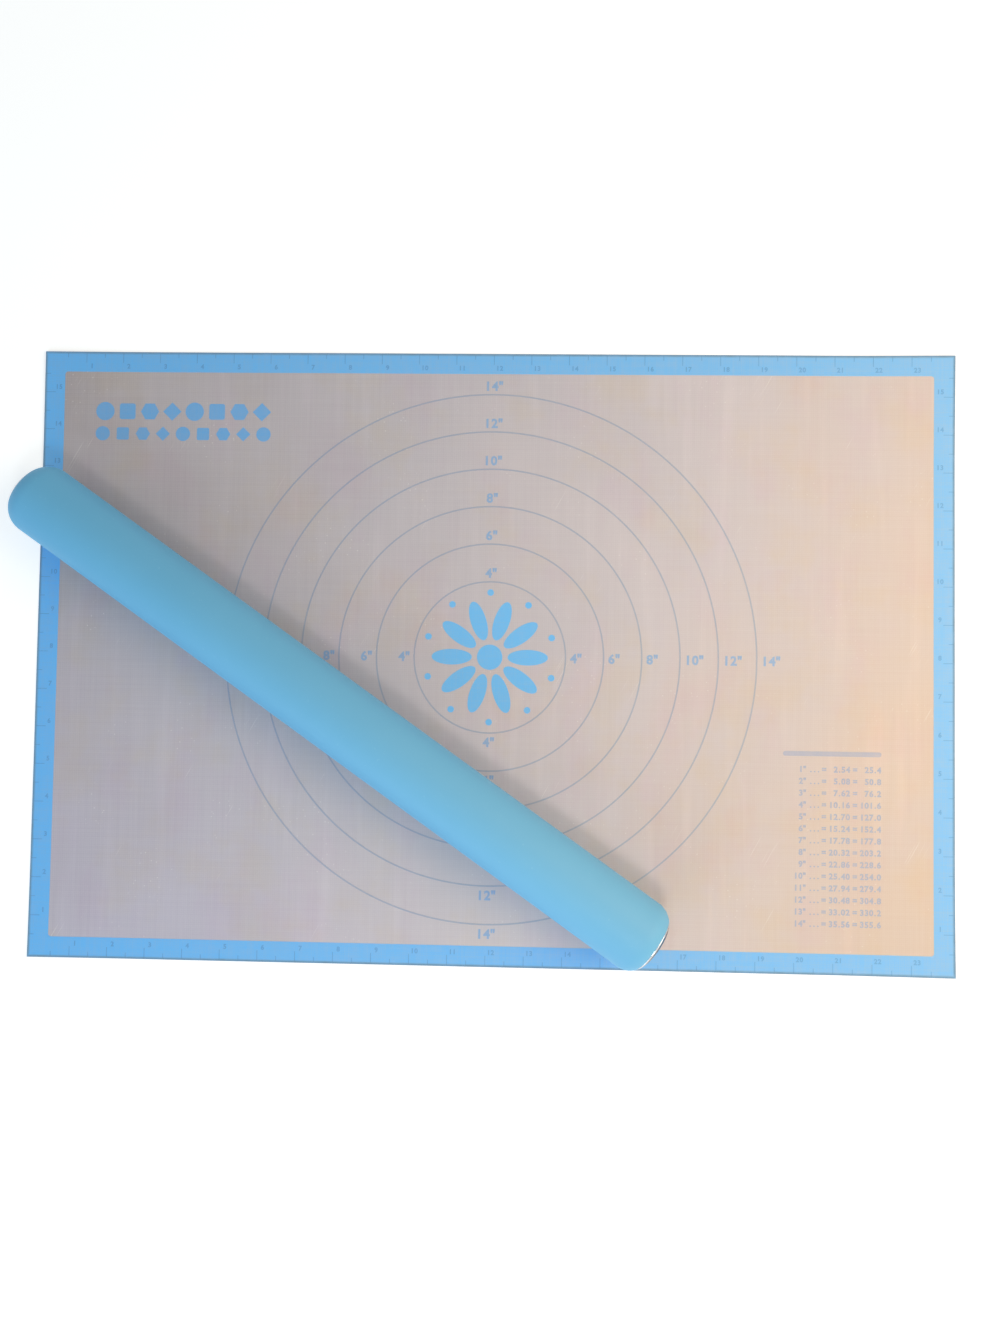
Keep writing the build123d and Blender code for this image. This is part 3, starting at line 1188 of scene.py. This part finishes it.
lathe_groove = 0.00035
dark_reflection_starts = 0.0027
dark_reflection_full = 0.0021
pin_heading = pin_axis.xy.angle_signed(Vector((1, 0)))
cap_edge_radius = 0.0187
face_edge_break = 0.0004
face_edge_turn = 0.03
spigot_radius = 0.0157
spigot_wall = 0.0015
spigot_length = 0.018
spigot_lead_in = 0.0008
cap_turn = shoulder_point(cap_edge_radius)[1]
spigot_end = sleeve_end - spigot_length
cap_outline = [
    (pin_half_length, 0),
    (pin_half_length, face_radius * 0.5),
    (pin_half_length, face_radius - face_edge_break),
    *shoulder_arc(pi / 2 - face_edge_turn, cap_turn, arc_steps),
    (sleeve_end, cap_edge_radius),
    (sleeve_end, spigot_radius),
    (spigot_end + spigot_lead_in, spigot_radius),
    (spigot_end, spigot_radius - spigot_lead_in),
    (spigot_end, spigot_radius - spigot_wall),
    (sleeve_end, spigot_radius - spigot_wall),
    (sleeve_end, 0),
]
cap_material = build_cap_material()
for side, node in ((-1, "left_end_cap"), (1, "right_end_cap")):
    outline = [(side * along, radius) for along, radius in cap_outline[::-side]]
    cap = turned(node.replace("end_cap", "steel_cap"), outline, cap_material)
    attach(cap, "pin_roller")
    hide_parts(node)


# The floor is a wide pale table top. It is lit as the mat is and keeps the shadows. It looks white
# to the camera and in reflections, most of all where it lies beyond the lamps' reach.
def seen_directly(start):
    """1 for a ray from the camera, a reflection or a see-through surface, and 0 for light."""
    camera_ray = start.add("ShaderNodeLightPath", output="Is Camera Ray")
    mirrored = camera_ray.math("MAXIMUM", camera_ray.other("Is Glossy Ray"))
    return mirrored.math("MAXIMUM", camera_ray.other("Is Transmission Ray"))


def build_floor_material():
    material, start, place = new_material("pale table top")
    away = start.add("ShaderNodeVectorMath", {"operation": "LENGTH"}, {0: place}, output="Value")
    glow_strength = seen_directly(start) * (away.above(lamp_reach, far_off) * far_glow + floor_glow)
    table_top = start.add("ShaderNodeBsdfDiffuse", {}, {"Color": colour(240, 240, 240)})
    glow = start.add("ShaderNodeEmission", {}, {"Color": glow_tint, "Strength": glow_strength})
    surface = start.add("ShaderNodeAddShader", {}, {0: table_top, 1: glow})
    start.add("ShaderNodeOutputMaterial", {}, {"Surface": surface})
    return material


floor_half_size = 6.0
floor_drop = 0.00005
floor_glow = 0.42
far_glow = 0.5
lamp_reach = 0.4
far_off = 2.0
glow_tint = (1.0, 0.97, 0.95, 1.0)
floor_mesh = bpy.data.meshes.new("floor")
floor_corners = [(-1, -1), (1, -1), (1, 1), (-1, 1)]
floor_mesh.from_pydata(
    [(x * floor_half_size, y * floor_half_size, -floor_drop) for x, y in floor_corners],
    [],
    [(0, 1, 2, 3)],
)
floor_mesh.materials.append(build_floor_material())
floor = bpy.data.objects.new("floor", floor_mesh)
bpy.context.scene.collection.objects.link(floor)


# Soft studio light: an even cool sky, a wide cool lamp low at the front left, as a window would
# stand, a small main lamp high above the front, which lays the pin's shadow behind it, and a warm
# lamp at the mat's right end.
world = bpy.data.worlds.new("studio")
bpy.context.scene.world = world
world.use_nodes = True
world.node_tree.nodes.clear()
start = Wire(world.node_tree)
sky_tint = (0.8, 0.92, 1.0, 1.0)
sky_strength = 0.47
sky = start.add("ShaderNodeBackground", {}, {"Color": sky_tint, "Strength": sky_strength})
white = start.add("ShaderNodeBackground", {}, {"Color": (1.0, 1.0, 1.0, 1.0), "Strength": 1.0})
shown = start.add("ShaderNodeMixShader", {}, {0: seen_directly(start), 1: sky, 2: white})
start.add("ShaderNodeOutputWorld", {}, {"Surface": shown})

mat_middle = Vector((0, 0, 0))
for name, place, size, watts, tint in (
    ("window lamp", (-0.8, -1.15, 0.5), 1.0, 7.8, (0.6, 0.84, 1.0)),
    ("main lamp", (0.11, -0.56, 1.03), 0.22, 2.0, (1.0, 0.97, 0.93)),
    ("right lamp", (0.7, 0.06, 0.62), 0.7, 4.8, (1.0, 0.79, 0.53)),
):
    lamp = bpy.data.lights.new(name, "AREA")
    lamp.size = size
    lamp.energy = watts
    lamp.color = tint
    light = bpy.data.objects.new(name, lamp)
    bpy.context.scene.collection.objects.link(light)
    light.location = place
    light.rotation_euler = (mat_middle - Vector(place)).to_track_quat("-Z", "Y").to_euler()

bpy.context.scene.view_settings.view_transform = "Standard"
